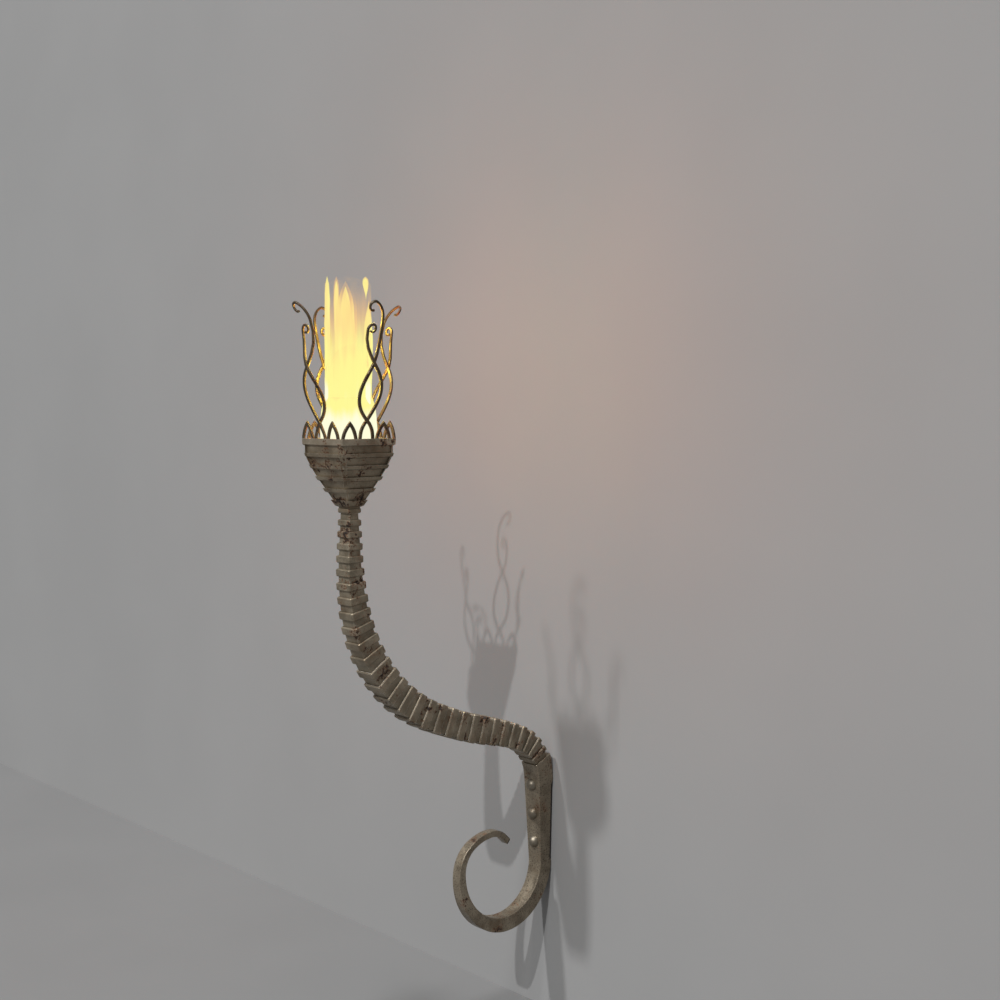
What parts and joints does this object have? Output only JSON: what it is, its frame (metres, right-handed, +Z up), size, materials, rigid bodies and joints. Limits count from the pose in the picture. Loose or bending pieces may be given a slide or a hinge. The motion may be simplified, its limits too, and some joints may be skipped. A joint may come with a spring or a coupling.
{
  "type": "torch sconce",
  "caption": "Wall-mounted iron torch: a ribbed curved arm on a scrolled wall bar carries a banded square cup with a crown of open scrolls and a lift-out burner.",
  "frame": {"origin": "on the wall plane, on the axis of the middle wall bolt, half way between the two outer bolts", "axes": "+Y into the wall along the bolts, +Z up, the torch stands out along -Y"},
  "size_m": [0.1812, 0.5689, 1.0359],
  "materials": {
    "bar_iron": "forged, dark and weathered",
    "bolt_iron": "forged, dark, worn on the domes",
    "arm_iron": "forged, dark and weathered",
    "collar_iron": "forged, worn bright on the edges",
    "cup_iron": "forged, dark, with rust spots",
    "rim_iron": "forged, dark and weathered",
    "band_iron": "forged, dark, worn on the edges",
    "crown_iron": "forged, dark",
    "fastener_steel": "plain, dulled",
    "burner_steel": "heat-stained",
    "can_steel": "heat-stained",
    "wick_fibre": "charred fibre",
    "grid_iron": "heat-darkened"
  },
  "bodies": {
    "torch": {"wall_bar": "bar_iron", "wall_bolts": "bolt_iron", "arm_core": "arm_iron", "arm_collar_1": "collar_iron", "arm_collar_2": "collar_iron", "arm_collar_3": "collar_iron", "arm_collar_4": "collar_iron", "arm_collar_5": "collar_iron", "arm_collar_6": "collar_iron", "arm_collar_7": "collar_iron", "arm_collar_8": "collar_iron", "arm_collar_9": "collar_iron", "arm_collar_10": "collar_iron", "arm_collar_11": "collar_iron", "arm_collar_12": "collar_iron", "arm_collar_13": "collar_iron", "arm_collar_14": "collar_iron", "arm_collar_15": "collar_iron", "arm_collar_16": "collar_iron", "arm_collar_17": "collar_iron", "arm_collar_18": "collar_iron", "arm_collar_19": "collar_iron", "arm_collar_20": "collar_iron", "arm_collar_21": "collar_iron", "arm_collar_22": "collar_iron", "arm_collar_23": "collar_iron", "arm_collar_24": "collar_iron", "arm_collar_25": "collar_iron", "arm_collar_26": "collar_iron", "arm_collar_27": "collar_iron", "arm_collar_28": "collar_iron", "arm_collar_29": "collar_iron", "cup_shell": "cup_iron", "rim_band": "rim_iron", "cup_band_1": "band_iron", "cup_band_2": "band_iron", "cup_band_3": "band_iron", "cup_band_4": "band_iron", "cup_band_5": "band_iron", "neck_collar": "collar_iron", "cup_washer": "fastener_steel", "cup_nut": "fastener_steel", "tall_scroll_front": "crown_iron", "tall_scroll_right": "crown_iron", "tall_scroll_back": "crown_iron", "tall_scroll_left": "crown_iron", "low_scroll_front": "crown_iron", "low_scroll_right": "crown_iron", "low_scroll_back": "crown_iron", "low_scroll_left": "crown_iron", "arches_front": "crown_iron", "arches_right": "crown_iron", "arches_back": "crown_iron", "arches_left": "crown_iron"},
    "burner": {"burner_plate": "burner_steel", "fuel_can": "can_steel", "wick": "wick_fibre", "wick_grid": "grid_iron"}
  },
  "joints": [
    {"name": "burner_lift", "type": "slide", "parent": "torch", "child": "burner", "axis": [0, 0, 1], "range_m": [0, 0.26]}
  ]
}
